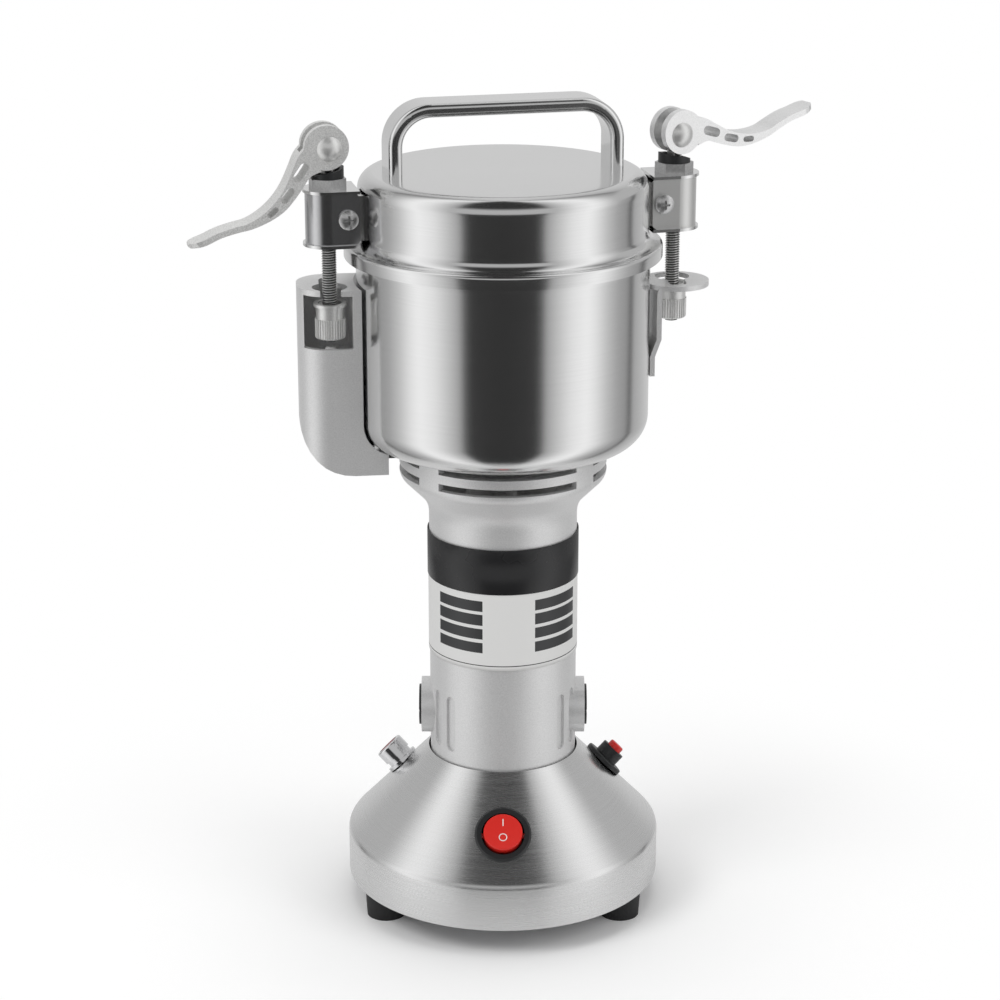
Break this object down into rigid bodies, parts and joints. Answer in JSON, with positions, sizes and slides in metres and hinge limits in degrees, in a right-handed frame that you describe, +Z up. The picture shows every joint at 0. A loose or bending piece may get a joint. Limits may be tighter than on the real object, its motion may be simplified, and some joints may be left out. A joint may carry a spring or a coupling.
{
  "type": "electric grain mill",
  "caption": "Electric grain mill: spun steel base with rocker switch, motor column, steel bowl with cutting blades, and a handled lid held down by cam levers.",
  "frame": {"origin": "on the floor under the shaft axis, between the feet", "axes": "+Z up along the shaft, -Y towards the user and the rocker switch, +X to the user's right"},
  "size_m": [0.2469, 0.13, 0.3385],
  "materials": {
    "brushed_steel": "brushed",
    "polished_steel": "polished",
    "zinc_steel": "satin",
    "silver_paint": "fine-grained satin",
    "cast_aluminium": "satin",
    "dark_steel": "satin",
    "chrome": "polished",
    "black_plastic": "matte",
    "black_rubber": "matte",
    "red_plastic": "gloss",
    "label": "satin",
    "copper": "enamelled copper",
    "carbon": "matte",
    "white_plastic": "satin"
  },
  "bodies": {
    "mill": {"base_shell": "brushed_steel", "base_ring": "zinc_steel", "base_plate": "zinc_steel", "feet": "black_rubber", "base_screws": "polished_steel", "motor_posts": "zinc_steel", "switch_body": "black_plastic", "lamp_bezel": "chrome", "lamp_lens": "red_plastic", "breaker_body": "black_plastic", "cord_grommet": "black_plastic", "motor_housing": "silver_paint", "label_plate": "label", "motor_end_plate": "cast_aluminium", "stator": "zinc_steel", "field_windings": "copper", "brush_holders": "black_plastic", "brushes": "carbon", "brush_caps": "black_plastic", "bearings": "zinc_steel", "bearing_plate": "zinc_steel", "shaft_seal": "white_plastic", "bowl": "brushed_steel", "bowl_screws": "polished_steel", "lug_bracket": "silver_paint", "interlock_casting": "silver_paint", "interlock_tongue": "polished_steel", "interlock_switch": "black_plastic"},
    "rocker": {"switch_rocker": "red_plastic"},
    "reset_button": {"breaker_button": "red_plastic"},
    "plunger": {"interlock_plunger": "white_plastic"},
    "rotor": {"rotor_shaft": "polished_steel", "armature": "zinc_steel", "commutator": "copper", "cooling_fan": "white_plastic", "scraper_blade": "brushed_steel", "main_blade": "brushed_steel", "blade_nut": "polished_steel"},
    "seal": {"lid_seal": "white_plastic"},
    "lid": {"lid_shell": "brushed_steel", "lid_pan": "brushed_steel", "handle": "polished_steel", "lid_lugs": "polished_steel", "latch_brackets": "zinc_steel", "bracket_plates": "polished_steel", "bracket_screws": "polished_steel"},
    "left_clamp": {"left_seat": "dark_steel", "left_pad": "black_plastic", "left_rod": "polished_steel"},
    "left_clamp_lever": {"left_lever": "cast_aluminium", "left_pin": "polished_steel"},
    "left_clamp_collar": {"left_collar": "polished_steel"},
    "left_clamp_nut": {"left_nut": "polished_steel"},
    "right_clamp": {"right_seat": "dark_steel", "right_pad": "black_plastic", "right_rod": "polished_steel"},
    "right_clamp_lever": {"right_lever": "cast_aluminium", "right_pin": "polished_steel"},
    "right_clamp_collar": {"right_collar": "polished_steel"},
    "right_clamp_nut": {"right_nut": "polished_steel"}
  },
  "joints": [
    {"name": "rocker_tilt", "type": "hinge", "parent": "mill", "child": "rocker", "pos_m": [0, -0.04898, 0.04633], "axis": [1, 0, 0], "range_deg": [0, 10]},
    {"name": "reset_press", "type": "slide", "parent": "mill", "child": "reset_button", "axis": [-0.6952, -0.1993, -0.6907], "range_m": [0, 0.0015], "stiffness_N_per_m": 500, "springref_m": -0.001},
    {"name": "plunger_press", "type": "slide", "parent": "mill", "child": "plunger", "axis": [0, 0, -1], "range_m": [0, 0.003], "stiffness_N_per_m": 300, "springref_m": -0.002},
    {"name": "rotor_spin", "type": "hinge", "parent": "mill", "child": "rotor", "pos_m": [0, 0, 0.2], "axis": [0, 0, 1], "continuous": true},
    {"name": "lid_lift", "type": "slide", "parent": "mill", "child": "seal", "axis": [0, 0, 1], "range_m": [0, 0.09]},
    {"name": "lid_turn", "type": "hinge", "parent": "seal", "child": "lid", "pos_m": [0, 0, 0.3], "axis": [0, 0, 1], "range_deg": [-10, 0]},
    {"name": "left_swivel", "type": "hinge", "parent": "lid", "child": "left_clamp", "pos_m": [-0.06794, -0.01556, 0.308], "axis": [0, 0, 1], "range_deg": [-40, 40]},
    {"name": "left_lever_turn", "type": "hinge", "parent": "left_clamp", "child": "left_clamp_lever", "pos_m": [-0.06794, -0.01556, 0.32217], "axis": [-0.2504, 0.9681, 0], "range_deg": [0, 90]},
    {"name": "left_collar_travel", "type": "slide", "parent": "left_clamp", "child": "left_clamp_collar", "axis": [0, 0, 1], "range_m": [-0.00302, 0.00302]},
    {"name": "left_nut_turn", "type": "hinge", "parent": "left_clamp_collar", "child": "left_clamp_nut", "pos_m": [-0.06794, -0.01556, 0.255], "axis": [0, 0, 1], "range_deg": [-1080, 1080]},
    {"name": "right_swivel", "type": "hinge", "parent": "lid", "child": "right_clamp", "pos_m": [0.06794, 0.01556, 0.308], "axis": [0, 0, 1], "range_deg": [-58, 22]},
    {"name": "right_lever_turn", "type": "hinge", "parent": "right_clamp", "child": "right_clamp_lever", "pos_m": [0.06794, 0.01556, 0.3216], "axis": [0.5135, -0.8581, 0], "range_deg": [-38, 52]},
    {"name": "right_collar_travel", "type": "slide", "parent": "right_clamp", "child": "right_clamp_collar", "axis": [0, 0, 1], "range_m": [-0.00402, 0.00002]},
    {"name": "right_nut_turn", "type": "hinge", "parent": "right_clamp_collar", "child": "right_clamp_nut", "pos_m": [0.06794, 0.01556, 0.255], "axis": [0, 0, 1], "range_deg": [-1440, 0]}
  ],
  "couplings": [
    {"joint": "left_collar_travel", "follows": "left_nut_turn", "m_per_rad": 0.00015915},
    {"joint": "right_collar_travel", "follows": "right_nut_turn", "m_per_rad": 0.00015915}
  ]
}
